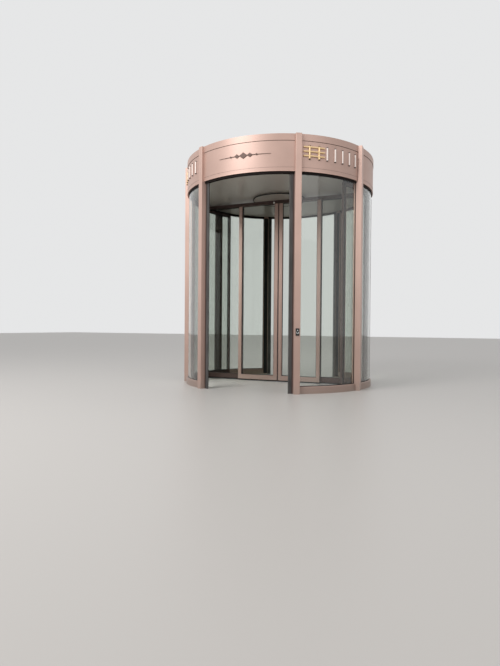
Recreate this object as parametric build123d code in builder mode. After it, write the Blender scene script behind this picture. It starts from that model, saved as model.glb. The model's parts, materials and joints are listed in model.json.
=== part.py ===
"""Two-wing revolving door: glazed drum, canopy and rotor with a pair of sliding leaves.

Origin on the floor at the drum's axis, +Z up. The front, outer side faces -Y and +X is on
the right hand as seen from outside. A bearing is an angle about +Z that is 0 at the front
and grows towards the right.
"""
import os
from math import asin, cos, degrees, radians, sin

from build123d import *

# Driving dimensions of the drum, in millimetres and degrees
drum_radius = 1485
wall_depth = 60
clear_height = 3000
fascia_height = 500
fascia_thickness = 23
cap_height = 89
cap_proud = 5
post_bearing = 29.2
post_width = 84
post_proud = 40
post_corner = 5
edge_width = 66
edge_thickness = 24
edge_nose = 10
sill_height = 100
sill_bevel = 12
head_height = 28
head_setback = 15
wall_glass = 12
glass_setback = 24
mullion_bearing = 111.3
mullion_width = 135

# Driving dimensions of the side wall posts, which carry the flanking screens
wall_post_bearing = 68.2
wall_post_reach = 58
wall_post_width = 114
wall_post_depth = 120

# Driving dimensions of the canopy
ceiling_thickness = 18
roof_thickness = 18
roof_drop = 4
bearing_ring_width = 95
bearing_ring_height = 45
bearing_ring_level = 85
canopy_arm_width = 60
canopy_arms = 4

# Driving dimensions of the ornament on the fascia
bar_width = 24
bar_proud = 18
bar_length = 188
bar_drop = 147
bar_count = 5
first_bar_bearing = 45.2
bar_pitch = 5.0
lattice_start = 31.9
lattice_end = 43.6
lattice_bar_bearings = (35.2, 40.5)
lattice_rod_drops = (171, 230, 290)
lattice_rod_size = 22
left_ornament_shift = -96.9
relief_height = 236
relief_half_length = 385
relief_stem = 12
relief_proud = 8
relief_blank_back = 1420
relief_blank_depth = 80
relief_lozenges = 2
relief_lozenge = 62
relief_lozenge_slope = 0.7
relief_pitch = 96

# Driving dimensions of the access button
button_width = 48
button_height = 98
button_level = 840
button_plate = 14
button_bevel = 4

# Driving dimensions of the rotor
running_gap = 8
brush_length = 12
brush_thickness = 12
floor_gap = 30
rail_height = 75
end_half_angle = 30
end_frame_depth = 40
end_stile = 45
end_glass = 8
frame_depth = 40
jamb_reach = 676
jamb_width = 56
wing_glass = 12
fixed_top_rail = 18
header_height = 26
header_margin = 10
header_gap = 32
header_skirt = 26
skirt_thickness = 5

# Driving dimensions of the sliding leaves
leaf_gap = 6
leaf_clearance = 12
meeting_stile = 66
leaf_top_rail = 18
end_top_rail = 50
leaf_top_gap = 8
track_wall = 6
track_gap = 5
hanger_head = 30
hanger_head_height = 10
hanger_blade = 8
hanger_length = 90
hanger_inset = 70
seat_gap = 0.3

# Driving dimensions of the hub
hub_radius = 414
hub_thickness = 24
neck_radius = 300
neck_gap = 10
bearing_gap = 5
flange_width = 72
flange_thickness = 20

# Levels and radii that follow
top_level = clear_height + fascia_height
drum_inner = drum_radius - wall_depth
fascia_inner = drum_radius - fascia_thickness
post_outer = drum_radius + post_proud
post_depth = post_outer - drum_inner
head_level = clear_height - head_height
glass_outer = drum_radius - glass_setback
glass_inner = glass_outer - wall_glass
rotor_reach = drum_inner - running_gap
end_outer = rotor_reach - brush_length
end_inner = end_outer - end_frame_depth
header_top = clear_height - header_gap
header_base = header_top - header_height
leaf_back = frame_depth / 2
leaf_front = -leaf_back
fixed_front = leaf_back + leaf_clearance
fixed_back = fixed_front + frame_depth
fixed_middle = (fixed_front + fixed_back) / 2
leaf_top = header_base - leaf_top_gap
track_floor = header_base + track_wall


def direction(bearing):
    """Unit vector that points outwards at a bearing."""
    return Vector(sin(radians(bearing)), -cos(radians(bearing)), 0)


def radial_plane(bearing):
    """Upright plane through the axis, its local x outwards and its local y up."""
    outward = direction(bearing)
    return Plane(origin=(0, 0, 0), x_dir=outward, z_dir=outward.cross(Vector(0, 0, 1)))


def place(bearing, radius):
    """Location in plan at a bearing, its local x along the ring and -y outwards."""
    spot = direction(bearing) * radius
    return Location((spot.X, spot.Y, 0), (0, 0, bearing))


def span(width, radius):
    """Angle that a width takes at a radius."""
    return degrees(2 * asin(width / 2 / radius))


def ring_piece(profile, start, end):
    """Solid swept round the axis from an upright profile of (radius, height) points."""
    with BuildPart() as piece:
        with BuildSketch(radial_plane(start)):
            with BuildLine():
                Polyline(*profile, close=True)
            make_face()
        revolve(axis=Axis.Z, revolution_arc=end - start)
    return piece


def box_profile(inner, outer, low, high):
    """Rectangular upright profile."""
    return [(inner, low), (outer, low), (outer, high), (inner, high)]


def joined(*pieces):
    """One node of several solids."""
    with BuildPart() as node:
        for piece in pieces:
            add(piece.part)
    return node


def mirrored(piece, plane):
    """Copy of a finished piece on the other side."""
    with BuildPart() as copy:
        add(piece.part.mirror(plane))
    return copy


def save(piece, name):
    """Label a piece and write it as a file of its own."""
    piece.part.label = name
    export_step(piece.part, f"parts/{name}.step")


os.makedirs("parts", exist_ok=True)

# Posts: one profile, four places, with rounded outer arrises
post_places = {
    "front_right": post_bearing,
    "front_left": -post_bearing,
    "rear_right": 180 - post_bearing,
    "rear_left": 180 + post_bearing,
}
post_middle = (post_outer + drum_inner) / 2

with BuildSketch() as post_outlines:
    with Locations(*[place(bearing, post_middle) for bearing in post_places.values()]):
        Rectangle(post_width, post_depth)

for name, bearing in post_places.items():
    with BuildPart() as post:
        with BuildSketch():
            with Locations(place(bearing, post_middle)):
                Rectangle(post_width, post_depth)
        extrude(amount=top_level)
        upright_edges = post.edges().filter_by(Axis.Z)
        fillet(upright_edges.sort_by_distance((0, 0, top_level / 2))[-2:], radius=post_corner)
    save(post, f"{name}_post")


def safety_edge(bearing, side):
    """Rubber strip on the throat side of a post, with a rounded nose."""
    offset_x = side * (post_width + edge_width) / 2
    middle = drum_inner + edge_thickness / 2
    with BuildPart() as strip:
        with BuildSketch():
            with Locations(place(bearing, middle) * Location((offset_x, 0, 0))):
                Rectangle(edge_width, edge_thickness)
        extrude(amount=head_level)
        nose = strip.edges().filter_by(Axis.Z).sort_by(lambda edge: abs(edge.center().X))[:2]
        fillet(nose, radius=edge_nose)
    return strip


save(joined(safety_edge(post_bearing, -1), safety_edge(-post_bearing, 1)), "front_safety_edges")
save(joined(safety_edge(180 - post_bearing, 1), safety_edge(180 + post_bearing, -1)), "rear_safety_edges")

# Side wall posts: flat-fronted, through the curved wall and up past the end of the fascia
wall_post_outer = drum_radius * sin(radians(wall_post_bearing)) + wall_post_reach
wall_post_front = -drum_radius * cos(radians(wall_post_bearing))
with BuildSketch() as wall_post_outline:
    with Locations((wall_post_outer, wall_post_front)):
        Rectangle(wall_post_width, wall_post_depth, align=(Align.MAX, Align.MIN))

with BuildPart() as right_wall_post:
    add(wall_post_outline.sketch)
    extrude(amount=top_level)
    with BuildSketch():
        Circle(drum_inner)
    extrude(amount=clear_height, mode=Mode.SUBTRACT)
    with BuildSketch(Plane.XY.offset(clear_height)):
        Circle(drum_radius + cap_proud)
    extrude(amount=fascia_height, mode=Mode.SUBTRACT)
save(right_wall_post, "right_wall_post")
save(mirrored(right_wall_post, Plane.YZ), "left_wall_post")


def cut_for_wall_post(ring):
    """Piece of the curved wall without the wall post's passage."""
    with BuildPart() as cut:
        add(ring.part)
        with BuildSketch():
            add(wall_post_outline.sketch)
        extrude(amount=top_level, mode=Mode.SUBTRACT)
    return cut


# Curved wall: sill, panes, rear mullion and head rail
wall_start = post_bearing + span(post_width, drum_inner) / 2
wall_end = 180 - wall_start
head_outer = drum_radius - head_setback

sill_profile = [
    (drum_inner, 0),
    (drum_radius, 0),
    (drum_radius, sill_height - sill_bevel),
    (drum_radius - sill_bevel, sill_height),
    (drum_inner, sill_height),
]
mullion_span = span(mullion_width, drum_radius)
pane_start = post_bearing + span(post_width, glass_inner) / 2
pane_bearings = {
    "front": (pane_start, wall_post_bearing),
    "side": (wall_post_bearing, mullion_bearing - mullion_span / 2),
    "rear": (mullion_bearing + mullion_span / 2, 180 - pane_start),
}

right_sill = cut_for_wall_post(ring_piece(sill_profile, wall_start, wall_end))
save(right_sill, "right_sill")
save(mirrored(right_sill, Plane.YZ), "left_sill")

head_profile = box_profile(drum_inner, head_outer, head_level, clear_height)
right_head = cut_for_wall_post(ring_piece(head_profile, wall_start, wall_end))
save(joined(right_head, mirrored(right_head, Plane.YZ)), "wall_heads")

throat_end = post_bearing - span(post_width, drum_inner) / 2
front_throat_head = ring_piece(head_profile, -throat_end, throat_end)
save(joined(front_throat_head, mirrored(front_throat_head, Plane.XZ)), "throat_heads")

pane_profile = box_profile(glass_inner, glass_outer, sill_height, head_level)
for name, (start, end) in pane_bearings.items():
    pane = cut_for_wall_post(ring_piece(pane_profile, start, end))
    save(pane, f"right_{name}_glass")
    save(mirrored(pane, Plane.YZ), f"left_{name}_glass")

mullion_profile = box_profile(drum_inner, drum_radius, sill_height, head_level)
right_mullion = ring_piece(
    mullion_profile, mullion_bearing - mullion_span / 2, mullion_bearing + mullion_span / 2
)
save(right_mullion, "right_mullion")
save(mirrored(right_mullion, Plane.YZ), "left_mullion")

# Fascia: four curved panels with a proud capping band
cap_level = top_level - cap_height
fascia_profile = [
    (fascia_inner, clear_height),
    (drum_radius, clear_height),
    (drum_radius, cap_level),
    (drum_radius + cap_proud, cap_level),
    (drum_radius + cap_proud, top_level),
    (fascia_inner, top_level),
]
panel_inset = span(post_width, fascia_inner) / 2
front_panel_end = post_bearing - panel_inset
side_panel_start = post_bearing + panel_inset

fascia_front = ring_piece(fascia_profile, -front_panel_end, front_panel_end)
save(fascia_front, "fascia_front")
save(mirrored(fascia_front, Plane.XZ), "fascia_rear")

fascia_right = ring_piece(fascia_profile, side_panel_start, 180 - side_panel_start)
save(fascia_right, "fascia_right")
save(mirrored(fascia_right, Plane.YZ), "fascia_left")


# Ornament on the side panels
def face_strip(centre, width, low, high, proud):
    """Upright strip on the fascia's face."""
    half = span(width, drum_radius) / 2
    profile = box_profile(drum_radius, drum_radius + proud, low, high)
    return ring_piece(profile, centre - half, centre + half)


bar_top = top_level - bar_drop
bar_base = bar_top - bar_length


def light_bars(shift):
    """Row of separate upright bars."""
    bars = []
    for number in range(bar_count):
        bearing = first_bar_bearing + shift + bar_pitch * number
        bars.append(face_strip(bearing, bar_width, bar_base, bar_top, bar_proud))
    return joined(*bars)


def lattice(shift):
    """Two upright bars crossed by level rods."""
    uprights = []
    for bearing in lattice_bar_bearings:
        uprights.append(face_strip(bearing + shift, bar_width, bar_base, bar_top, bar_proud))
    rods = []
    for drop in lattice_rod_drops:
        level = top_level - drop
        profile = box_profile(
            drum_radius, drum_radius + bar_proud, level - lattice_rod_size / 2, level + lattice_rod_size / 2
        )
        rods.append(ring_piece(profile, lattice_start + shift, lattice_end + shift))
    return joined(*uprights, *rods)


save(joined(light_bars(0), light_bars(left_ornament_shift)), "light_bars")
save(joined(lattice(0), lattice(left_ornament_shift)), "lattices")

# Relief on the front panel: a divider of lozenges on a long tapering stem
relief_middle = clear_height + relief_height
relief_tips = [(side * relief_half_length, relief_middle) for side in (-1, 1)]
relief_waist = [(0, relief_middle + side * relief_stem / 2) for side in (-1, 1)]
with BuildPart() as front_relief:
    with BuildSketch(Plane.XZ.offset(relief_blank_back)):
        with BuildLine():
            Polyline(relief_tips[0], relief_waist[0], relief_tips[1], relief_waist[1], close=True)
        make_face()
        for number in range(-relief_lozenges, relief_lozenges + 1):
            share = 1 - abs(number) / (relief_lozenges + 1)
            half_width = relief_lozenge * share
            half_height = half_width * relief_lozenge_slope
            middle = number * relief_pitch
            with BuildLine():
                Polyline(
                    (middle - half_width, relief_middle),
                    (middle, relief_middle - half_height),
                    (middle + half_width, relief_middle),
                    (middle, relief_middle + half_height),
                    close=True,
                )
            make_face()
    extrude(amount=relief_blank_depth)
    add(
        ring_piece(
            box_profile(drum_radius, drum_radius + relief_proud, clear_height, cap_level),
            -front_panel_end,
            front_panel_end,
        ).part,
        mode=Mode.INTERSECT,
    )
save(front_relief, "front_relief")

# Ceiling, roof and the frame between them that carries the bearing ring
ceiling_hole = neck_radius + neck_gap
with BuildPart() as ceiling:
    with BuildSketch(Plane.XY.offset(clear_height)):
        Circle(fascia_inner)
        Circle(ceiling_hole, mode=Mode.SUBTRACT)
        add(post_outlines.sketch, mode=Mode.SUBTRACT)
    extrude(amount=ceiling_thickness)
save(ceiling, "ceiling")

with BuildPart() as roof:
    with BuildSketch(Plane.XY.offset(top_level - roof_drop - roof_thickness)):
        Circle(fascia_inner)
        add(post_outlines.sketch, mode=Mode.SUBTRACT)
    extrude(amount=roof_thickness)
save(roof, "roof")

ring_inner = neck_radius + bearing_gap
ring_outer = ring_inner + bearing_ring_width
ring_base = clear_height + bearing_ring_level
ring_top = ring_base + bearing_ring_height
arm_length = fascia_inner - ring_inner - bearing_ring_width / 2
with BuildPart() as canopy_frame:
    with BuildSketch(Plane.XY.offset(ring_base)):
        with PolarLocations(ring_inner + bearing_ring_width / 2, canopy_arms, start_angle=180 / canopy_arms):
            Rectangle(arm_length + bearing_ring_width, canopy_arm_width, align=(Align.MIN, Align.CENTER))
        Circle(fascia_inner, mode=Mode.INTERSECT)
        Circle(ring_outer)
        Circle(ring_inner, mode=Mode.SUBTRACT)
    extrude(amount=bearing_ring_height)
save(canopy_frame, "canopy_frame")

# Access button on the outer face of the right front post
button_plane = Plane(
    origin=direction(post_bearing) * post_outer + Vector(0, 0, button_level),
    x_dir=direction(post_bearing + 90),
    z_dir=direction(post_bearing),
)
with BuildPart() as access_button:
    with BuildSketch(button_plane):
        Rectangle(button_width, button_height)
    extrude(amount=button_plate)
    outer_face = access_button.faces().sort_by(Axis(button_plane.origin, button_plane.z_dir))[-1]
    chamfer(outer_face.edges(), length=button_bevel)
save(access_button, "access_button")

# Hub: disc under the ceiling, neck through it and flange on the bearing ring
flange_base = ring_top + seat_gap
flange_radius = neck_radius + flange_width
with BuildPart() as hub:
    with BuildSketch(Plane.XZ):
        with BuildLine():
            Polyline(
                (0, header_top),
                (hub_radius, header_top),
                (hub_radius, header_top + hub_thickness),
                (neck_radius, header_top + hub_thickness),
                (neck_radius, flange_base),
                (flange_radius, flange_base),
                (flange_radius, flange_base + flange_thickness),
                (0, flange_base + flange_thickness),
                close=True,
            )
        make_face()
    revolve(axis=Axis.Z)
save(hub, "hub")

# Header: one beam across the rotor, its front half an open track for the leaves behind a skirt
track_half = hanger_head / 2 + track_gap
slot_half = hanger_blade / 2 + track_gap
header_front = leaf_front - header_margin
header_back = fixed_back
with BuildPart() as header:
    with BuildSketch(Plane.YZ.offset(-end_inner)):
        with Locations((header_front, header_base)):
            Rectangle(header_back - header_front, header_height, align=(Align.MIN, Align.MIN))
        with Locations((header_front, header_base - header_skirt)):
            Rectangle(skirt_thickness, header_skirt, align=(Align.MIN, Align.MIN))
        with Locations((0, track_floor)):
            Rectangle(
                2 * track_half,
                header_height - 2 * track_wall,
                align=(Align.CENTER, Align.MIN),
                mode=Mode.SUBTRACT,
            )
        with Locations((0, header_base)):
            Rectangle(2 * slot_half, track_wall, align=(Align.CENTER, Align.MIN), mode=Mode.SUBTRACT)
    extrude(amount=2 * end_inner)
    with BuildSketch(Plane.XY.offset(header_base - header_skirt)):
        Circle(end_inner)
    extrude(amount=header_height + header_skirt, mode=Mode.INTERSECT)
save(header, "header")

# Fixed side frame of a wing, behind the leaves, between the jamb and the curved end
jamb_inner = jamb_reach - jamb_width / 2
jamb_outer = jamb_reach + jamb_width / 2
fixed_outer_stile = end_inner - end_stile
fixed_glass_top = header_base - fixed_top_rail
rail_top = floor_gap + rail_height


def plan_block(start, end, low, high, depth_low, depth_high):
    """Straight member of the wing, cut to the curved end."""
    with BuildPart() as block:
        with BuildSketch(Plane.XY.offset(low)):
            with Locations((start, depth_low)):
                Rectangle(end - start, depth_high - depth_low, align=(Align.MIN, Align.MIN))
            Circle(end_inner, mode=Mode.INTERSECT)
        extrude(amount=high - low)
    return block


right_fixed_frame = joined(
    plan_block(jamb_inner, jamb_outer, floor_gap, header_base, fixed_front, fixed_back),
    plan_block(fixed_outer_stile, end_inner, floor_gap, header_base, fixed_front, fixed_back),
    plan_block(jamb_inner, end_inner, floor_gap, rail_top, fixed_front, fixed_back),
    plan_block(jamb_inner, end_inner, fixed_glass_top, header_base, fixed_front, fixed_back),
)
save(right_fixed_frame, "right_fixed_frame")
save(mirrored(right_fixed_frame, Plane.YZ), "left_fixed_frame")

right_fixed_glass = plan_block(
    jamb_outer,
    fixed_outer_stile,
    rail_top,
    fixed_glass_top,
    fixed_middle - wing_glass / 2,
    fixed_middle + wing_glass / 2,
)
save(right_fixed_glass, "right_fixed_glass")
save(mirrored(right_fixed_glass, Plane.YZ), "left_fixed_glass")

# Curved end of a wing: rails, end stiles and middle stile, with two bent panes
stile_span = span(end_stile, end_inner)
end_start = 90 - end_half_angle
end_stop = 90 + end_half_angle
stile_profile = box_profile(end_inner, end_outer, floor_gap, header_top)
right_end_frame = joined(
    ring_piece(box_profile(end_inner, end_outer, floor_gap, rail_top), end_start, end_stop),
    ring_piece(box_profile(end_inner, end_outer, header_top - end_top_rail, header_top), end_start, end_stop),
    ring_piece(stile_profile, end_start, end_start + stile_span),
    ring_piece(stile_profile, 90 - stile_span / 2, 90 + stile_span / 2),
    ring_piece(stile_profile, end_stop - stile_span, end_stop),
)
save(right_end_frame, "right_end_frame")
save(mirrored(right_end_frame, Plane.YZ), "left_end_frame")

end_glass_inner = (end_inner + end_outer - end_glass) / 2
end_pane_profile = box_profile(
    end_glass_inner, end_glass_inner + end_glass, rail_top, header_top - end_top_rail
)
front_end_pane = ring_piece(end_pane_profile, end_start + stile_span, 90 - stile_span / 2)
right_end_glass = joined(front_end_pane, mirrored(front_end_pane, Plane.XZ))
save(right_end_glass, "right_end_glass")
save(mirrored(right_end_glass, Plane.YZ), "left_end_glass")

# Brush seals of a wing: under it, over its curved end and along its two upright edges
brush_low = running_gap
brush_middle = (end_inner + end_outer) / 2
brush_profile_low = box_profile(
    brush_middle - brush_thickness / 2, brush_middle + brush_thickness / 2, brush_low, floor_gap
)
brush_profile_top = box_profile(
    brush_middle - brush_thickness / 2,
    brush_middle + brush_thickness / 2,
    header_top,
    clear_height - running_gap,
)
edge_brush_profile = box_profile(end_outer, rotor_reach, floor_gap, header_top)
edge_brush_span = span(brush_thickness, end_outer)
with BuildPart() as straight_brush:
    with BuildSketch(Plane.XY.offset(brush_low)):
        with Locations((jamb_inner, fixed_middle)):
            Rectangle(brush_middle - jamb_inner, brush_thickness, align=(Align.MIN, Align.CENTER))
    extrude(amount=floor_gap - brush_low)
right_wing_brushes = joined(
    ring_piece(brush_profile_low, end_start, end_stop),
    ring_piece(brush_profile_top, end_start, end_stop),
    ring_piece(edge_brush_profile, end_start, end_start + edge_brush_span),
    ring_piece(edge_brush_profile, end_stop - edge_brush_span, end_stop),
    straight_brush,
)
save(right_wing_brushes, "right_wing_brushes")
save(mirrored(right_wing_brushes, Plane.YZ), "left_wing_brushes")

# Sliding leaf: stiles, rails and two hangers whose heads run on the track's lips
leaf_start = leaf_gap / 2
leaf_glass_top = leaf_top - leaf_top_rail
leaf_stile_inner = leaf_start + meeting_stile
leaf_stile_outer = jamb_inner
head_base = track_floor + seat_gap


def hanger(start):
    """T-shaped hanger with its blade in the slot and its head in the track."""
    with BuildPart() as piece:
        with BuildSketch(Plane.YZ.offset(start)):
            with Locations((0, leaf_top)):
                Rectangle(hanger_blade, head_base - leaf_top, align=(Align.CENTER, Align.MIN))
            with Locations((0, head_base)):
                Rectangle(hanger_head, hanger_head_height, align=(Align.CENTER, Align.MIN))
        extrude(amount=hanger_length)
    return piece


right_leaf_frame = joined(
    plan_block(leaf_start, leaf_stile_inner, floor_gap, leaf_top, leaf_front, leaf_back),
    plan_block(leaf_stile_outer, jamb_outer, floor_gap, leaf_top, leaf_front, leaf_back),
    plan_block(leaf_start, jamb_outer, floor_gap, rail_top, leaf_front, leaf_back),
    plan_block(leaf_start, jamb_outer, leaf_glass_top, leaf_top, leaf_front, leaf_back),
    hanger(leaf_start + hanger_inset),
    hanger(jamb_outer - hanger_inset - hanger_length),
)
save(right_leaf_frame, "right_leaf_frame")
save(mirrored(right_leaf_frame, Plane.YZ), "left_leaf_frame")

leaf_glass = plan_block(
    leaf_stile_inner,
    leaf_stile_outer,
    rail_top,
    leaf_glass_top,
    -wing_glass / 2,
    wing_glass / 2,
)
save(leaf_glass, "right_leaf_glass")
save(mirrored(leaf_glass, Plane.YZ), "left_leaf_glass")

leaf_brush = plan_block(
    leaf_start,
    jamb_outer,
    brush_low,
    floor_gap,
    -brush_thickness / 2,
    brush_thickness / 2,
)
save(leaf_brush, "right_leaf_brush")
save(mirrored(leaf_brush, Plane.YZ), "left_leaf_brush")
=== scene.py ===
"""Looks of the two-wing revolving door: finishes, seals, trim, floor, light and camera.

Lengths are metres. Bearings are angles about +Z in degrees, 0 at the front (-Y) and growing
towards +X.
"""
import json
import math

import bmesh
import bpy
from mathutils import Matrix, Vector


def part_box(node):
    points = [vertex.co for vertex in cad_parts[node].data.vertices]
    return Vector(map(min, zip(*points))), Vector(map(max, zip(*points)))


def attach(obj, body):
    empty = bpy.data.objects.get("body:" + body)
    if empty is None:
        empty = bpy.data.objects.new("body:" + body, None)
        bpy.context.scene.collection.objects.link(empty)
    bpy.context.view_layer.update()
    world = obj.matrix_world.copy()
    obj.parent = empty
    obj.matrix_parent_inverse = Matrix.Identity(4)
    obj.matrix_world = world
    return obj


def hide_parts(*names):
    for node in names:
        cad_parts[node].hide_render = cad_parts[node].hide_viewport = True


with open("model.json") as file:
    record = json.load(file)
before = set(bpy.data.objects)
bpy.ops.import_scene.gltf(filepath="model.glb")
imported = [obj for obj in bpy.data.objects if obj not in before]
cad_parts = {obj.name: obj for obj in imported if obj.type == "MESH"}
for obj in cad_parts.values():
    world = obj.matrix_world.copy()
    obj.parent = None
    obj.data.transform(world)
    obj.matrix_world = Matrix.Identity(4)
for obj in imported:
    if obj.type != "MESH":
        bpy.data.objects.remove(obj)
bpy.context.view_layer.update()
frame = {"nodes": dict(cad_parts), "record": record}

# Sizes read from the frame
hub_low, hub_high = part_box("hub")
button_low, button_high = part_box("access_button")
bars_low, bars_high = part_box("light_bars")
end_pane_low, end_pane_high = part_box("right_end_glass")
wall_post_low, wall_post_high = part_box("right_wall_post")
fascia_low, fascia_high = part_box("fascia_front")
SILL_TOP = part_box("right_sill")[1].z
HEAD_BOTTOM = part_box("wall_heads")[0].z
CLEAR = fascia_low.z
TOP = fascia_high.z

# Sizes and bearings that repeat those of the part's source
DRUM_RADIUS = 1.485
DRUM_INNER = 1.425
CAP_LEVEL = TOP - 0.089
POST_BEARING = 29.2
POST_WIDTH = 0.084
POST_OUTER = DRUM_RADIUS + 0.040
PANE_OUTER = DRUM_RADIUS - 0.024
PANE_INNER = PANE_OUTER - 0.012
MULLION_BEARING = 111.3
MULLION_WIDTH = 0.135
END_PANE_OUTER = end_pane_high.x
END_PANE_INNER = END_PANE_OUTER - 0.008
END_STILE_SPAN = 1.89
END_HALF_ANGLE = 30.0

# Mirrored pieces: way along X, and the first word of their names
SIDES = ((1, "right"), (-1, "left"))

# Camera, as fitted to the photograph
FRAME_WIDTH = 500
FRAME_HEIGHT = 666
FOCAL_PIXELS = 508.0
SENSOR = 36.0
VIEW_DISTANCE = 200
CAMERA_PLACE = (2.776, -7.863, 0.917)
CAMERA_YAW = 22.61
CAMERA_PITCH = -0.80
CAMERA_ROLL = 0.45


def make_camera():
    """Camera at the photograph's viewing angle."""
    data = bpy.data.cameras.new("photo_camera")
    data.sensor_width = SENSOR
    data.lens = SENSOR * FOCAL_PIXELS / max(FRAME_WIDTH, FRAME_HEIGHT)
    data.clip_end = VIEW_DISTANCE
    camera = bpy.data.objects.new("photo_camera", data)
    bpy.context.scene.collection.objects.link(camera)
    turn = Matrix.Rotation(math.radians(CAMERA_YAW), 4, "Z")
    tip = Matrix.Rotation(math.radians(90 + CAMERA_PITCH), 4, "X")
    roll = Matrix.Rotation(math.radians(CAMERA_ROLL), 4, "Z")
    camera.matrix_world = Matrix.Translation(CAMERA_PLACE) @ turn @ tip @ roll
    bpy.context.scene.camera = camera


# Materials

# Sockets of the Mix node's colour form, whose names the node's other forms repeat
MIX_FIRST = 6
MIX_SECOND = 7
MIX_RESULT = 2


class Nodes:
    """Short way to write a material's node tree."""

    def __init__(self, name):
        """Material with nothing but a Principled shader and its output."""
        self.material = bpy.data.materials.new(name)
        self.material.use_nodes = True
        self.tree = self.material.node_tree
        self.tree.nodes.clear()
        self.output = self.add("ShaderNodeOutputMaterial")
        self.shader = self.add("ShaderNodeBsdfPrincipled")
        self.link(self.shader, "BSDF", self.output, "Surface")

    def add(self, kind, **values):
        """New node with the given properties."""
        node = self.tree.nodes.new(kind)
        for key, value in values.items():
            setattr(node, key, value)
        return node

    def link(self, source, output, target, socket):
        """Join a named output of one node to a named socket of another."""
        self.tree.links.new(source.outputs[output], target.inputs[socket])

    def feed(self, value, socket):
        """Put a number, a colour or another node's output into a socket."""
        if isinstance(value, bpy.types.NodeSocket):
            self.tree.links.new(value, socket)
        elif isinstance(value, tuple):
            socket.default_value = (*value, 1)
        else:
            socket.default_value = value

    def set(self, socket, value):
        """Feed a socket of the shader."""
        self.feed(value, self.shader.inputs[socket])

    def noise(self, scale, detail=3.0, stretch=(1, 1, 1)):
        """Noise over the object's own metres, stretched along its axes."""
        place = self.add("ShaderNodeTexCoord")
        mapping = self.add("ShaderNodeMapping")
        mapping.inputs["Scale"].default_value = stretch
        noise = self.add("ShaderNodeTexNoise")
        noise.inputs["Scale"].default_value = scale
        noise.inputs["Detail"].default_value = detail
        self.link(place, "Object", mapping, "Vector")
        self.link(mapping, "Vector", noise, "Vector")
        return noise.outputs["Fac"]

    def height(self):
        """Height above the floor."""
        place = self.add("ShaderNodeTexCoord")
        split = self.add("ShaderNodeSeparateXYZ")
        self.link(place, "Object", split, "Vector")
        return split.outputs["Z"]

    def rescale(self, source, source_range=(0, 1), result_range=(0, 1)):
        """One range of values mapped to another, held at its ends."""
        span = self.add("ShaderNodeMapRange")
        span.inputs["From Min"].default_value = source_range[0]
        span.inputs["From Max"].default_value = source_range[1]
        span.inputs["To Min"].default_value = result_range[0]
        span.inputs["To Max"].default_value = result_range[1]
        self.feed(source, span.inputs["Value"])
        return span.outputs["Result"]

    def times(self, first, second):
        """Product of an output with another output or a number."""
        product = self.add("ShaderNodeMath", operation="MULTIPLY")
        for socket, value in zip(product.inputs, (first, second)):
            self.feed(value, socket)
        return product.outputs["Value"]

    def mix(self, factor, first, second):
        """Mix of two colours, each an output or three numbers."""
        mix = self.add("ShaderNodeMix", data_type="RGBA")
        self.feed(factor, mix.inputs["Factor"])
        self.feed(first, mix.inputs[MIX_FIRST])
        self.feed(second, mix.inputs[MIX_SECOND])
        return mix.outputs[MIX_RESULT]

    def tones(self, source, colour, dark, light):
        """A colour that varies between two shades of itself."""
        return self.mix(source, shade(colour, dark), shade(colour, light))

    def roughness(self, source, low, high):
        """Roughness that follows a noise between two values."""
        self.set("Roughness", self.rescale(source, result_range=(low, high)))

    def bump(self, source, strength, distance):
        """Fine relief that follows a noise."""
        bump = self.add("ShaderNodeBump")
        bump.inputs["Strength"].default_value = strength
        bump.inputs["Distance"].default_value = distance
        self.feed(source, bump.inputs["Height"])
        self.link(bump, "Normal", self.shader, "Normal")


def shade(colour, amount):
    """A colour made lighter or darker."""
    return tuple(min(1.0, channel * amount) for channel in colour)


# Middle of a noise's range, stretched to make its patches plainer
PATCHES = (0.3, 0.7)
GRAIN_SHARE = 0.30
GRAIN_SHADE = 0.70
# Painted shade: from this height down to the floor the colour darkens more and more
PAINTED_SHADE_TOP = 1.9
PAINTED_SHADE_SHARE = 0.42
PAINTED_SHADE_DARKNESS = 0.42
DUST = (0.34, 0.30, 0.26)
DUST_HEIGHT = 0.16
DUST_SHARE = 0.8


def shade_and_dust_surface(nodes, surface, colour):
    """Painted shade that darkens the colour more the nearer the floor, and flecks of dust close above it.
    """
    painted_shade = nodes.times(nodes.rescale(nodes.height(), (PAINTED_SHADE_TOP, 0.0)), PAINTED_SHADE_SHARE)
    surface = nodes.mix(painted_shade, surface, shade(colour, PAINTED_SHADE_DARKNESS))
    near_floor = nodes.rescale(nodes.height(), (DUST_HEIGHT, 0.0))
    fleck = nodes.times(near_floor, nodes.noise(scale=38.0, detail=5.0))
    return nodes.mix(nodes.times(fleck, DUST_SHARE), surface, DUST)


def anodised(name, colour, metallic=0.30, rough=(0.36, 0.50), grain=(70, 70, 1.2), floor_shade_and_dust=True):
    """Satin anodised metal: fine drawn grain, soft blotches, painted shade that darkens it towards the
    floor, and flecks of dust near the floor.
    """
    nodes = Nodes(name)
    drawn = nodes.noise(scale=9.0, detail=4.0, stretch=grain)
    blotch = nodes.rescale(nodes.noise(scale=2.3, detail=2.0), PATCHES)
    tone = nodes.tones(blotch, colour, dark=0.92, light=1.05)
    surface = nodes.mix(nodes.times(drawn, GRAIN_SHARE), tone, shade(colour, GRAIN_SHADE))
    if floor_shade_and_dust:
        surface = shade_and_dust_surface(nodes, surface, colour)
    nodes.set("Base Color", surface)
    nodes.set("Metallic", metallic)
    nodes.roughness(drawn, *rough)
    nodes.bump(drawn, strength=0.06, distance=0.0006)
    return nodes.material


def painted(name, colour, rough=(0.38, 0.5), specular=0.5):
    """Painted sheet with a fine orange-peel surface."""
    nodes = Nodes(name)
    cloud = nodes.noise(scale=0.9, detail=1.5)
    nodes.set("Base Color", nodes.tones(cloud, colour, dark=0.94, light=1.06))
    nodes.set("Specular IOR Level", specular)
    nodes.roughness(cloud, *rough)
    nodes.bump(nodes.noise(scale=60.0), strength=0.05, distance=0.0006)
    return nodes.material


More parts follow.
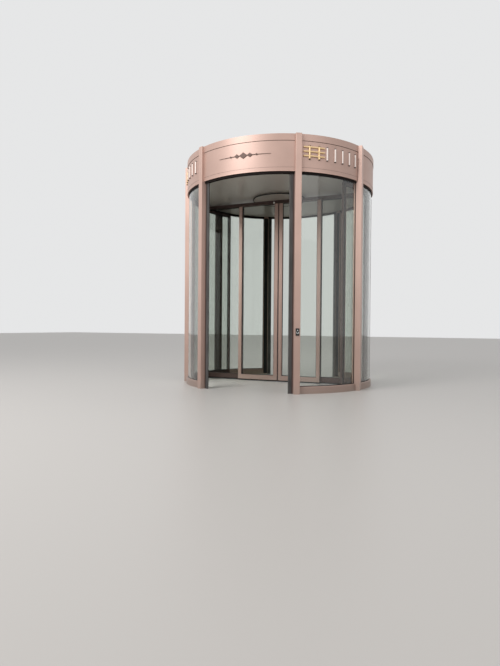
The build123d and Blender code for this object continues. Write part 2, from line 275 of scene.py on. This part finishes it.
def rubber(name, colour):
    """Matt rubber with a faint bloom."""
    nodes = Nodes(name)
    bloom = nodes.noise(scale=26.0, detail=5.0, stretch=(1, 1, 0.15))
    patches = nodes.rescale(bloom, (0.35, 0.7))
    nodes.set("Base Color", nodes.tones(patches, colour, dark=0.75, light=1.35))
    nodes.set("Specular IOR Level", 0.3)
    nodes.roughness(bloom, 0.5, 0.72)
    nodes.bump(bloom, strength=0.12, distance=0.0008)
    return nodes.material


HAIR_DARK = (0.006, 0.006, 0.006)
HAIR_LIGHT = (0.045, 0.043, 0.040)


def bristle(name):
    """Dense black brush: fine upright hairs."""
    nodes = Nodes(name)
    hair = nodes.noise(scale=60.0, detail=2.0, stretch=(14, 14, 0.6))
    nodes.set("Base Color", nodes.mix(nodes.rescale(hair, (0.35, 0.7)), HAIR_DARK, HAIR_LIGHT))
    nodes.set("Specular IOR Level", 0.2)
    nodes.roughness(hair, 0.6, 0.85)
    nodes.bump(hair, strength=0.7, distance=0.003)
    return nodes.material


GLASS_IOR = 1.5
GLASS_FILM = 0.015


def glazing(name, tint):
    """Tinted clear glass that lets lamplight through, with a faint film in its gloss."""
    nodes = Nodes(name)
    nodes.set("Base Color", tint)
    nodes.set("Transmission Weight", 1.0)
    nodes.set("IOR", GLASS_IOR)
    nodes.roughness(nodes.noise(scale=3.0, detail=4.0, stretch=(1, 1, 0.35)), 0.0, GLASS_FILM)
    clear = nodes.add("ShaderNodeBsdfTransparent")
    nodes.feed(tint, clear.inputs["Color"])
    rays = nodes.add("ShaderNodeLightPath")
    pick = nodes.add("ShaderNodeMixShader")
    nodes.link(rays, "Is Shadow Ray", pick, "Fac")
    nodes.feed(nodes.shader.outputs["BSDF"], pick.inputs[1])
    nodes.feed(clear.outputs["BSDF"], pick.inputs[2])
    nodes.link(pick, "Shader", nodes.output, "Surface")
    return nodes.material


def glossy_plastic(name, colour):
    """Moulded plastic with faint handling marks."""
    nodes = Nodes(name)
    marks = nodes.noise(scale=90.0, detail=4.0)
    patches = nodes.rescale(marks, (0.3, 0.75))
    nodes.set("Base Color", nodes.tones(patches, colour, dark=0.85, light=1.2))
    nodes.roughness(marks, 0.12, 0.25)
    nodes.bump(marks, strength=0.03, distance=0.0003)
    return nodes.material


# Finish of each slot, and the nodes and trim that have one of their own
ROSE = (0.57, 0.386, 0.324)
FINISH = {
    "bronze": anodised("rose_bronze", shade(ROSE, 1.12)),
    # The sill's bronze is a darker copy, standing in for the dark surroundings that it reflects: painted
    # reflection
    "sill_bronze": anodised("sill_bronze", shade(ROSE, 0.86), grain=(2, 2, 70)),
    "fascia_bronze": anodised("fascia_bronze", ROSE, grain=(1.5, 1.5, 60), floor_shade_and_dust=False),
    # Near-black, dull bronze: on the head rings under the fascia it is partly their own dark colour and
    # partly painted shade for the deep gap there; the bars' dark ends wear it too
    "dark_bronze": painted("dark_bronze", (0.010, 0.006, 0.005), rough=(0.6, 0.75), specular=0.15),
    "light_bar": painted("light_bar", (1.0, 0.86, 0.80), rough=(0.3, 0.42)),
    "gold": anodised("gold", (0.92, 0.66, 0.36), metallic=0.35, rough=(0.28, 0.40), floor_shade_and_dust=False),
    "rubber": rubber("grey_rubber", (0.082, 0.078, 0.076)),
    "wall_glass": glazing("wall_glass", (0.955, 0.975, 0.95)),
    "ceiling_panel": painted("ceiling_panel", (0.52, 0.48, 0.43), rough=(0.26, 0.34)),
    "steel": painted("primed_steel", (0.16, 0.16, 0.17)),
    "button": glossy_plastic("button_black", (0.012, 0.012, 0.013)),
    "hub_panel": painted("hub_panel", (0.44, 0.39, 0.34), rough=(0.26, 0.34)),
    "rotor_bronze": anodised("rotor_bronze", shade(ROSE, 0.84)),
    "rotor_glass": glazing("rotor_glass", (0.67, 0.70, 0.665)),
    "brush": bristle("brush_black"),
}
# Frames deep in the drum, which stand in shade, wear a darkened copy of the bronze: painted shade
PAINTED_SHADE_NODES = (
    "header",
    "right_fixed_frame",
    "left_fixed_frame",
    "right_end_frame",
    "left_end_frame",
    "right_mullion",
    "left_mullion",
)
# Darkened copy of the bronze for the raised relief, standing in for the shadows round its strokes:
# painted shade
relief_painted_shade = anodised("relief_painted_shade", (0.105, 0.058, 0.044), rough=(0.4, 0.55), floor_shade_and_dust=False)
# Darkened, redder copy of the bronze: painted shade on the frames in the drum's shade and on the strips
# beside the posts
frame_in_painted_shade = anodised("frame_bronze_painted_shade", (0.080, 0.049, 0.042), rough=(0.42, 0.55), floor_shade_and_dust=False)
black_rubber = rubber("black_gasket", (0.016, 0.016, 0.016))


def finish_of(entry):
    """Material of one of the frame's nodes."""
    if entry["node"] == "front_relief":
        return relief_painted_shade
    if entry["node"] in PAINTED_SHADE_NODES:
        return frame_in_painted_shade
    return FINISH[entry["material_slot"]]


def dress_nodes():
    """Put the finishes on the CAD nodes' slots."""
    for entry in frame["record"]["subparts"]:
        for node_slot in frame["nodes"][entry["node"]].material_slots:
            node_slot.material = finish_of(entry)


# Mesh helpers
SHARP_ANGLE = 40
RING_STEP = 3
HOOP_STEPS = 96


def new_piece(name, mesh_data, body, material, smooth=False):
    """Object from a bmesh, with its finish, riding on a body."""
    mesh = bpy.data.meshes.new(name)
    bmesh.ops.recalc_face_normals(mesh_data, faces=mesh_data.faces)
    mesh_data.to_mesh(mesh)
    mesh_data.free()
    if smooth:
        mesh.shade_smooth()
        mesh.set_sharp_from_angle(angle=math.radians(SHARP_ANGLE))
    piece = bpy.data.objects.new(name, mesh)
    bpy.context.scene.collection.objects.link(piece)
    mesh.materials.append(material)
    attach(piece, body)
    return piece


def outward(bearing):
    """Unit vector outwards at a bearing."""
    angle = math.radians(bearing)
    return Vector((math.sin(angle), -math.cos(angle), 0))


def along(bearing):
    """Unit vector along the ring at a bearing, towards growing bearings."""
    return outward(bearing + 90)


def lift(level):
    """Vector straight up."""
    return Vector((0, 0, level))


def span(width, radius):
    """Angle that a width takes at a radius."""
    return math.degrees(2 * math.asin(width / 2 / radius))


def oval(half_width, half_depth, steps=14):
    """Points round an oval."""
    angles = [2 * math.pi * number / steps for number in range(steps)]
    return [(half_width * math.cos(angle), half_depth * math.sin(angle)) for angle in angles]


def add_rows(mesh, rings):
    """Vertices of each ring of corners."""
    return [[mesh.verts.new(corner) for corner in ring] for ring in rings]


def add_walls(mesh, rows):
    """Faces between each row of vertices and the next."""
    for first, second in zip(rows, rows[1:]):
        for number in range(len(first)):
            following = (number + 1) % len(first)
            mesh.faces.new((first[number], first[following], second[following], second[number]))


def add_loft(mesh, rings):
    """Closed solid through rings of corners, capped at both ends."""
    rows = add_rows(mesh, rings)
    add_walls(mesh, rows)
    mesh.faces.new(rows[0])
    mesh.faces.new(rows[-1])


def add_closed_loft(mesh, rings):
    """Ring-shaped solid: the last ring of corners joins the first."""
    rows = add_rows(mesh, rings)
    add_walls(mesh, rows + rows[:1])


def add_prism(mesh, corners, low, high):
    """Upright solid on a plan of corners, between two levels."""
    add_loft(mesh, [[corner + lift(level) for corner in corners] for level in (low, high)])


def add_bar(mesh, low, high):
    """Straight bar between two corners."""
    plan = ((low[0], low[1]), (high[0], low[1]), (high[0], high[1]), (low[0], high[1]))
    add_prism(mesh, [Vector((x, y, 0)) for x, y in plan], low[2], high[2])


def flat_section(inner, outer, low, high):
    """Rectangle of (radius, level) points."""
    return ((inner, low), (outer, low), (outer, high), (inner, high))


def section_at(section, bearing):
    """Section of (radius, level) points stood up at a bearing."""
    return [outward(bearing) * radius + lift(level) for radius, level in section]


def add_sweep(mesh, section, start, end, steps):
    """Section of (radius, level) points swept round the axis between two bearings."""
    places = [start + (end - start) * number / steps for number in range(steps + 1)]
    add_loft(mesh, [section_at(section, bearing) for bearing in places])


def add_ring(mesh, inner, outer, low, high, start, end):
    """Slice of a flat-sided ring between two bearings."""
    steps = max(1, round(abs(end - start) / RING_STEP))
    add_sweep(mesh, flat_section(inner, outer, low, high), start, end, steps)


def add_hoop(mesh, inner, outer, low, high):
    """Closed flat-sided hoop about the axis."""
    section = flat_section(inner, outer, low, high)
    places = [360 * number / HOOP_STEPS for number in range(HOOP_STEPS)]
    add_closed_loft(mesh, [section_at(section, bearing) for bearing in places])


def add_upright(mesh, bearing, radius, outline, low, high):
    """Upright bar whose plan outline is (along, outwards) points about a place on a ring."""
    centre = outward(bearing) * radius
    corners = [centre + along(bearing) * x + outward(bearing) * y for x, y in outline]
    add_prism(mesh, corners, low, high)


# Glazing seals: black gaskets on both faces of every pane
GASKET = 0.008
GASKET_PROUD = 0.003


def flat_gasket(name, glass, body):
    """Seal round a flat pane."""
    low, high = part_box(glass)
    bottom = low.z + GASKET
    top = high.z - GASKET
    mesh = bmesh.new()
    for near, far in ((low.y - GASKET_PROUD, low.y), (high.y, high.y + GASKET_PROUD)):
        add_bar(mesh, (low.x, near, low.z), (high.x, far, bottom))
        add_bar(mesh, (low.x, near, top), (high.x, far, high.z))
        add_bar(mesh, (low.x, near, bottom), (low.x + GASKET, far, top))
        add_bar(mesh, (high.x - GASKET, near, bottom), (high.x, far, top))
    new_piece(name, mesh, body, black_rubber)


def add_curved_gasket(mesh, inner, outer, low, high, start, end):
    """Seal round a bent pane."""
    side = math.copysign(span(GASKET, outer), end - start)
    bottom = low + GASKET
    top = high - GASKET
    for near, far in ((inner - GASKET_PROUD, inner), (outer, outer + GASKET_PROUD)):
        add_ring(mesh, near, far, low, bottom, start, end)
        add_ring(mesh, near, far, top, high, start, end)
        add_ring(mesh, near, far, bottom, top, start, start + side)
        add_ring(mesh, near, far, bottom, top, end - side, end)


def wall_gaskets():
    """Seals of the six panes of the drum."""
    pane_start = POST_BEARING + span(POST_WIDTH, PANE_INNER) / 2
    seal_outer = PANE_OUTER + GASKET_PROUD
    post_front_face = math.degrees(math.acos(-wall_post_low.y / seal_outer))
    post_rear_face = math.degrees(math.acos(-wall_post_high.y / seal_outer))
    half_mullion = span(MULLION_WIDTH, DRUM_RADIUS) / 2
    panes = (
        (pane_start, post_front_face),
        (post_rear_face, MULLION_BEARING - half_mullion),
        (MULLION_BEARING + half_mullion, 180 - pane_start),
    )
    for side, name in SIDES:
        mesh = bmesh.new()
        for start, end in panes:
            ends = (side * start, side * end)
            add_curved_gasket(mesh, PANE_INNER, PANE_OUTER, SILL_TOP, HEAD_BOTTOM, *ends)
        new_piece(f"{name}_wall_gaskets", mesh, "drum", black_rubber)


def end_gaskets():
    """Seals of the bent panes at the wing's ends."""
    first = 90 - END_HALF_ANGLE + END_STILE_SPAN
    last = 90 - END_STILE_SPAN / 2
    levels = (end_pane_low.z, end_pane_high.z)
    for side, name in SIDES:
        mesh = bmesh.new()
        for start, end in ((first, last), (180 - last, 180 - first)):
            ends = (side * start, side * end)
            add_curved_gasket(mesh, END_PANE_INNER, END_PANE_OUTER, *levels, *ends)
        new_piece(f"{name}_end_gaskets", mesh, "rotor", black_rubber)


# Black seal lines on the meeting stiles of the leaves
SEAL_WIDTH = 0.006
SEAL_PROUD = 0.0015


def meeting_seals():
    """Upright lines on both faces of both stiles, up to the top of the glass."""
    for side, name in SIDES:
        leaf_low, leaf_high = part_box(f"{name}_leaf_frame")
        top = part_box(f"{name}_leaf_glass")[1].z
        meeting = leaf_low.x if side > 0 else leaf_high.x
        left, right = sorted((meeting, meeting + side * SEAL_WIDTH))
        mesh = bmesh.new()
        for near, far in ((leaf_low.y - SEAL_PROUD, leaf_low.y), (leaf_high.y, leaf_high.y + SEAL_PROUD)):
            add_bar(mesh, (left, near, leaf_low.z), (right, far, top))
        new_piece(f"{name}_meeting_seal", mesh, f"{name}_leaf", black_rubber)


# Safety edges: ribs on the rubber, a dark strip beside each post painted as the post's shaded side, and
# black sheets on the posts' inner faces painted as the shade there
EDGE_THICKNESS = 0.024
RIB_PLACES = (0.030, 0.041, 0.052)
RIB_HALF_WIDTH = 0.003
RIB_PROUD = 0.0022
RIB_POINTS = 12
RIB_END = 0.02
SIDE_SHADE_WIDTH = 0.018
SIDE_SHADE_PROUD = 0.004
SIDE_SHADE_END = 0.004
INNER_SHADE_HALF_WIDTH = 0.036
INNER_SHADE_THICKNESS = 0.002
INNER_SHADE_BOTTOM = 0.012
# Bearing of each post, and the way along the ring towards its throat
POSTS = (
    (POST_BEARING, -1),
    (-POST_BEARING, 1),
    (180 - POST_BEARING, 1),
    (180 + POST_BEARING, -1),
)


def half_oval(middle):
    """Rib's plan: the outer half of an oval about a place along the ring."""
    points = oval(RIB_HALF_WIDTH, RIB_PROUD, RIB_POINTS)[: RIB_POINTS // 2 + 1]
    return [(middle + x, max(y, 0)) for x, y in points]


def post_trim():
    """Ribs, painted-shade strips beside the posts, and painted-shade sheets on the posts' inner faces."""
    ribs = bmesh.new()
    post_side_shade_strips = bmesh.new()
    inner_shade_sheets = bmesh.new()
    edge_face = DRUM_INNER + EDGE_THICKNESS
    inner_shade_plan = flat_section(-INNER_SHADE_HALF_WIDTH, INNER_SHADE_HALF_WIDTH, -INNER_SHADE_THICKNESS, 0)
    for bearing, side in POSTS:
        for place in RIB_PLACES:
            outline = half_oval(side * (POST_WIDTH / 2 + place))
            add_upright(ribs, bearing, edge_face, outline, RIB_END, HEAD_BOTTOM - RIB_END)
        # Dark strip beside the post: painted shade for the post's shaded side
        near = side * POST_WIDTH / 2
        far = near + side * SIDE_SHADE_WIDTH
        outline = [(near, 0), (far, 0), (far, SIDE_SHADE_PROUD / 2), (near, SIDE_SHADE_PROUD)]
        add_upright(post_side_shade_strips, bearing, edge_face, outline, SIDE_SHADE_END, HEAD_BOTTOM - SIDE_SHADE_END)
        # Black sheet on the post's inner face: painted shade
        add_upright(inner_shade_sheets, bearing, DRUM_INNER, inner_shade_plan, INNER_SHADE_BOTTOM, HEAD_BOTTOM)
    new_piece("edge_ribs", ribs, "drum", FINISH["rubber"], smooth=True)
    new_piece("post_side_painted_shade", post_side_shade_strips, "drum", frame_in_painted_shade)
    new_piece("post_inner_painted_shade", inner_shade_sheets, "drum", black_rubber)


# Fascia: painted shadow line under the capping band, painted shade along a fine fold line, and a lower
# lip in a lighter copy of the bronze as a painted highlight
SHADOW_LINE = 0.005
SHADOW_PROUD = 0.0024
FOLD_LEVEL = CLEAR + 0.052
FOLD_LINE = 0.002
FOLD_PROUD = 0.0012
LIP_HEIGHT = 0.007
LIP_PROUD = 0.0022
# Degrees that each line stops short of the posts
PANEL_GAP = 0.3


def fascia_lines():
    """Thin painted shadow and highlight lines that run round all four panels."""
    lines = bmesh.new()
    lips = bmesh.new()
    half_post = span(POST_WIDTH, DRUM_RADIUS) / 2
    side_start = POST_BEARING + half_post + PANEL_GAP
    throat_end = POST_BEARING - half_post - PANEL_GAP
    # Dark band painted as the capping band's shadow, and a fine dark line painted as the shade along the
    # fold
    shadow_band = (DRUM_RADIUS, DRUM_RADIUS + SHADOW_PROUD, CAP_LEVEL - SHADOW_LINE, CAP_LEVEL)
    fold_band = (DRUM_RADIUS, DRUM_RADIUS + FOLD_PROUD, FOLD_LEVEL, FOLD_LEVEL + FOLD_LINE)
    # Pale lip: a lighter copy of the bronze, painted as a highlight along the lower edge
    lip_band = (DRUM_RADIUS, DRUM_RADIUS + LIP_PROUD, CLEAR, CLEAR + LIP_HEIGHT)
    panels = (
        (-throat_end, throat_end),
        (180 - throat_end, 180 + throat_end),
        (side_start, 180 - side_start),
        (-side_start, side_start - 180),
    )
    for start, end in panels:
        add_ring(lines, *shadow_band, start, end)
        add_ring(lines, *fold_band, start, end)
        add_ring(lips, *lip_band, start, end)
    shadow = painted("painted_shadow_line", (0.085, 0.055, 0.047), rough=(0.6, 0.75), specular=0.2)
    lip = anodised("lip_painted_highlight", shade(ROSE, 1.28), floor_shade_and_dust=False)
    new_piece("fascia_painted_shade_lines", lines, "drum", shadow)
    new_piece("fascia_lip_highlights", lips, "drum", lip)


# Ornament: rounded bars and rods in place of the plain ones
ORNAMENT_PROUD = 0.018
BAR_HALF_WIDTH = 0.012
BAR_BEARINGS = (45.2, 50.2, 55.2, 60.2, 65.2)
LATTICE_BEARINGS = (35.2, 40.5)
LATTICE_RANGE = (31.9, 43.6)
ROD_LEVELS = (TOP - 0.171, TOP - 0.230, TOP - 0.290)
ROD_HALF_HEIGHT = 0.011
ROD_DEPTH_SHARE = 0.92
ROD_STEPS = 8
DARK_END_LENGTH = 0.009
# Turn that takes the right side panel's ornament to the left one
LEFT_SHIFT = -96.9


def ornament():
    """Row of light bars and gold lattice on both side panels, with dark ends on all bars."""
    bars = bmesh.new()
    bar_dark_ends = bmesh.new()
    gold = bmesh.new()
    lattice_dark_ends = bmesh.new()
    half_depth = ORNAMENT_PROUD / 2
    radius = DRUM_RADIUS + half_depth
    body = oval(BAR_HALF_WIDTH, half_depth)
    low = bars_low.z + DARK_END_LENGTH
    high = bars_high.z - DARK_END_LENGTH
    for shift in (0, LEFT_SHIFT):
        for mesh, ends, bearings in ((bars, bar_dark_ends, BAR_BEARINGS), (gold, lattice_dark_ends, LATTICE_BEARINGS)):
            for bearing in bearings:
                add_upright(mesh, bearing + shift, radius, body, low, high)
                add_upright(ends, bearing + shift, radius, body, bars_low.z, low)
                add_upright(ends, bearing + shift, radius, body, high, bars_high.z)
        first, last = (bearing + shift for bearing in LATTICE_RANGE)
        for level in ROD_LEVELS:
            points = oval(ROD_HALF_HEIGHT, half_depth)
            section = [(radius + y * ROD_DEPTH_SHARE, level + x) for x, y in points]
            add_sweep(gold, section, first, last, ROD_STEPS)
    pale = FINISH["light_bar"]
    dark = FINISH["dark_bronze"]
    bars_piece = new_piece("light_bars_round", bars, "drum", pale, smooth=True)
    bar_ends_piece = new_piece("light_bar_ends", bar_dark_ends, "drum", dark, smooth=True)
    gold_piece = new_piece("lattices_round", gold, "drum", FINISH["gold"], smooth=True)
    gold_ends = new_piece("lattice_ends", lattice_dark_ends, "drum", dark, smooth=True)
    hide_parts("light_bars")
    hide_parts("light_bars")
    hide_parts("lattices")
    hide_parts("lattices")


# Black rim round the hub's disc
RIM_WIDTH = 0.012
RIM_DROP = 0.002
RIM_RISE = 0.014


def hub_rim():
    """Hoop that stands round the disc's edge and a little under it."""
    mesh = bmesh.new()
    disc_radius = hub_high.x
    low = hub_low.z - RIM_DROP
    high = hub_low.z + RIM_RISE
    add_hoop(mesh, disc_radius, disc_radius + RIM_WIDTH, low, high)
    new_piece("hub_rim", mesh, "rotor", black_rubber)


# Small sensors on the header's two faces, beside the meeting stiles, made pale to stand in for a spot of
# reflected light there: painted highlight
SENSOR_PLACE = 0.078
SENSOR_RISE = 0.017
SENSOR_RADIUS = 0.016
SENSOR_POINTS = 18
# Dome of each lens: height over the header's face, and share of the radius there
SENSOR_STEPS = ((0.0, 1.0), (0.004, 1.0), (0.008, 0.78), (0.010, 0.4))


def header_sensor_highlights():
    """Domed pale lens on each face, the two a half turn apart."""
    header_low, header_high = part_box("header")
    mesh = bmesh.new()
    for x, face, way in ((-SENSOR_PLACE, header_low.y, -1), (SENSOR_PLACE, header_high.y, 1)):
        centre = Vector((x, face, header_low.z + SENSOR_RISE))
        rings = []
        for rise, share in SENSOR_STEPS:
            lens = oval(SENSOR_RADIUS * share, SENSOR_RADIUS * share, SENSOR_POINTS)
            rings.append([centre + Vector((u, way * rise, v)) for u, v in lens])
        add_loft(mesh, rings)
    # Pale lens colour: painted highlight for the spot of reflected light
    sensor_highlight_white = glossy_plastic("sensor_highlight_white", (0.80, 0.79, 0.74))
    new_piece("header_sensor_highlights", mesh, "rotor", sensor_highlight_white, smooth=True)


# Roof, out of sight in the photograph: flashing, centre cap, seams and their screws
FLASHING = 0.035
ROOF_CAP_RADIUS = 0.26
ROOF_CAP_HEIGHT = 0.003
ROOF_CAP_POINTS = 64
SEAMS = 8
SEAM_HALF_WIDTH = 0.014
SEAM_HEIGHT = 0.002
SEAM_GAP = 0.001
SCREW_PLACES = (0.36, 0.61, 0.86, 1.11, 1.33)
SCREW_RADIUS = 0.006
SCREW_HEIGHT = 0.0012
SCREW_POINTS = 12
SCREW_TOP_SHARE = 0.8


def add_screw(mesh, centre):
    """Screw head on a seam, narrower at its top."""
    rings = []
    for rise, share in ((SEAM_HEIGHT, 1.0), (SEAM_HEIGHT + SCREW_HEIGHT, SCREW_TOP_SHARE)):
        head = oval(SCREW_RADIUS * share, SCREW_RADIUS * share, SCREW_POINTS)
        rings.append([centre + Vector((x, y, rise)) for x, y in head])
    add_loft(mesh, rings)


def roof_trim():
    """Flat seams from the centre cap to the flashing, with a row of screws on each."""
    roof_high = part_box("roof")[1]
    top = roof_high.z
    seams = bmesh.new()
    screws = bmesh.new()
    flashing_inner = roof_high.x - FLASHING
    add_hoop(seams, flashing_inner, roof_high.x, top, top + SEAM_HEIGHT)
    cap = [Vector((x, y, 0)) for x, y in oval(ROOF_CAP_RADIUS, ROOF_CAP_RADIUS, ROOF_CAP_POINTS)]
    add_prism(seams, cap, top, top + ROOF_CAP_HEIGHT)
    near = ROOF_CAP_RADIUS + SEAM_GAP
    far = flashing_inner - SEAM_GAP
    plan = flat_section(near, far, -SEAM_HALF_WIDTH, SEAM_HALF_WIDTH)
    for number in range(SEAMS):
        bearing = 360 * (number + 0.5) / SEAMS
        corners = [outward(bearing) * radius + along(bearing) * across for radius, across in plan]
        add_prism(seams, corners, top, top + SEAM_HEIGHT)
        for place in SCREW_PLACES:
            add_screw(screws, lift(top) + outward(bearing) * place)
    seam_finish = painted("roof_seam", (0.40, 0.37, 0.33), rough=(0.4, 0.5))
    screw_finish = anodised("screw_steel", (0.42, 0.42, 0.42), metallic=0.9, floor_shade_and_dust=False)
    new_piece("roof_seams", seams, "drum", seam_finish)
    new_piece("roof_screws", screws, "drum", screw_finish)


# Symbol on the access button: a dot for a figure's head over an open wheel
BUTTON_PLATE = 0.014
SYMBOL_PROUD = 0.0008
DOT_RADIUS = 0.0065
DOT_RISE = 0.022
DOT_POINTS = 20
WHEEL_OUTER = 0.0155
WHEEL_INNER = 0.0105
WHEEL_DROP = 0.008
WHEEL_RANGE = (130, 400)
WHEEL_STEPS = 18


def add_badge(mesh, outline):
    """Flat shape of (across, up) points on the button's face."""
    face = POST_OUTER + BUTTON_PLATE
    middle = lift((button_low.z + button_high.z) / 2)
    rings = []
    for radius in (face, face + SYMBOL_PROUD):
        centre = outward(POST_BEARING) * radius + middle
        rings.append([centre + along(POST_BEARING) * x + lift(z) for x, z in outline])
    add_loft(mesh, rings)


def wheel_point(angle, radius):
    """Point of the wheel on the button's face."""
    return (radius * math.cos(angle), radius * math.sin(angle) - WHEEL_DROP)


def button_symbol():
    """White figure of access on the button."""
    mesh = bmesh.new()
    add_badge(mesh, [(x, z + DOT_RISE) for x, z in oval(DOT_RADIUS, DOT_RADIUS, DOT_POINTS)])
    first, last = (math.radians(angle) for angle in WHEEL_RANGE)
    step = (last - first) / WHEEL_STEPS
    for number in range(WHEEL_STEPS):
        start = first + step * number
        end = first + step * (number + 1)
        sector = ((start, WHEEL_INNER), (start, WHEEL_OUTER), (end, WHEEL_OUTER), (end, WHEEL_INNER))
        add_badge(mesh, [wheel_point(angle, radius) for angle, radius in sector])
    symbol_white = painted("symbol_white", (0.85, 0.86, 0.84), rough=(0.4, 0.5))
    new_piece("button_symbol", mesh, "drum", symbol_white)


# Floor, sky and lamps
FLOOR_SIZE = 40
FLOOR_COLOUR = (0.54, 0.515, 0.49)
SKY_COLOUR = (0.92, 0.925, 0.93, 1)
# Strength of the sky as a light, and as it is seen by the camera, in metal and through glass
SKY_LIGHT = 0.64
SKY_SEEN = 0.86
# Name, place, aim, width and watts of each square lamp: a large key and a weak fill
LAMPS = (
    ("key", (-3.4, -8.5, 7.6), (0, 0, 2.0), 5.0, 640),
    ("fill", (7.5, -6.5, 6.0), (0, 0, 1.8), 5.0, 70),
)


def make_floor():
    """Plain pale floor."""
    mesh = bmesh.new()
    bmesh.ops.create_grid(mesh, x_segments=1, y_segments=1, size=FLOOR_SIZE)
    data = bpy.data.meshes.new("floor")
    mesh.to_mesh(data)
    mesh.free()
    floor = bpy.data.objects.new("floor", data)
    bpy.context.scene.collection.objects.link(floor)
    nodes = Nodes("floor_pale")
    nodes.set("Base Color", FLOOR_COLOUR)
    nodes.set("Roughness", 0.42)
    nodes.set("Specular IOR Level", 0.4)
    data.materials.append(nodes.material)


def make_sky():
    """Soft even sky, brighter where it is seen than as a light."""
    world = bpy.data.worlds.new("studio")
    bpy.context.scene.world = world
    world.use_nodes = True
    tree = world.node_tree
    background = tree.nodes["Background"]
    background.inputs["Color"].default_value = SKY_COLOUR
    rays = tree.nodes.new("ShaderNodeLightPath")
    seen = rays.outputs["Is Camera Ray"]
    for kind in ("Is Glossy Ray", "Is Transmission Ray"):
        either = tree.nodes.new("ShaderNodeMath")
        either.operation = "MAXIMUM"
        tree.links.new(seen, either.inputs[0])
        tree.links.new(rays.outputs[kind], either.inputs[1])
        seen = either.outputs["Value"]
    strength = tree.nodes.new("ShaderNodeMapRange")
    strength.inputs["To Min"].default_value = SKY_LIGHT
    strength.inputs["To Max"].default_value = SKY_SEEN
    tree.links.new(seen, strength.inputs["Value"])
    tree.links.new(strength.outputs["Result"], background.inputs["Strength"])


def make_lamps():
    """Square lamps, seen neither directly nor through glass."""
    for name, place, aim, size, power in LAMPS:
        data = bpy.data.lights.new(name, "AREA")
        data.size = size
        data.energy = power
        lamp = bpy.data.objects.new(name, data)
        lamp.visible_camera = False
        lamp.visible_transmission = False
        lamp.location = place
        lamp.rotation_mode = "QUATERNION"
        lamp.rotation_quaternion = (Vector(aim) - Vector(place)).to_track_quat("-Z", "Y")
        bpy.context.scene.collection.objects.link(lamp)


# Build, in order
dress_nodes()
for side in ("right", "left"):
    flat_gasket(f"{side}_leaf_gasket", f"{side}_leaf_glass", f"{side}_leaf")
    flat_gasket(f"{side}_fixed_gasket", f"{side}_fixed_glass", "rotor")
wall_gaskets()
end_gaskets()
meeting_seals()
post_trim()
fascia_lines()
ornament()
hub_rim()
header_sensor_highlights()
roof_trim()
button_symbol()
make_floor()
make_sky()
make_lamps()
make_camera()
bpy.context.scene.view_settings.view_transform = "Standard"
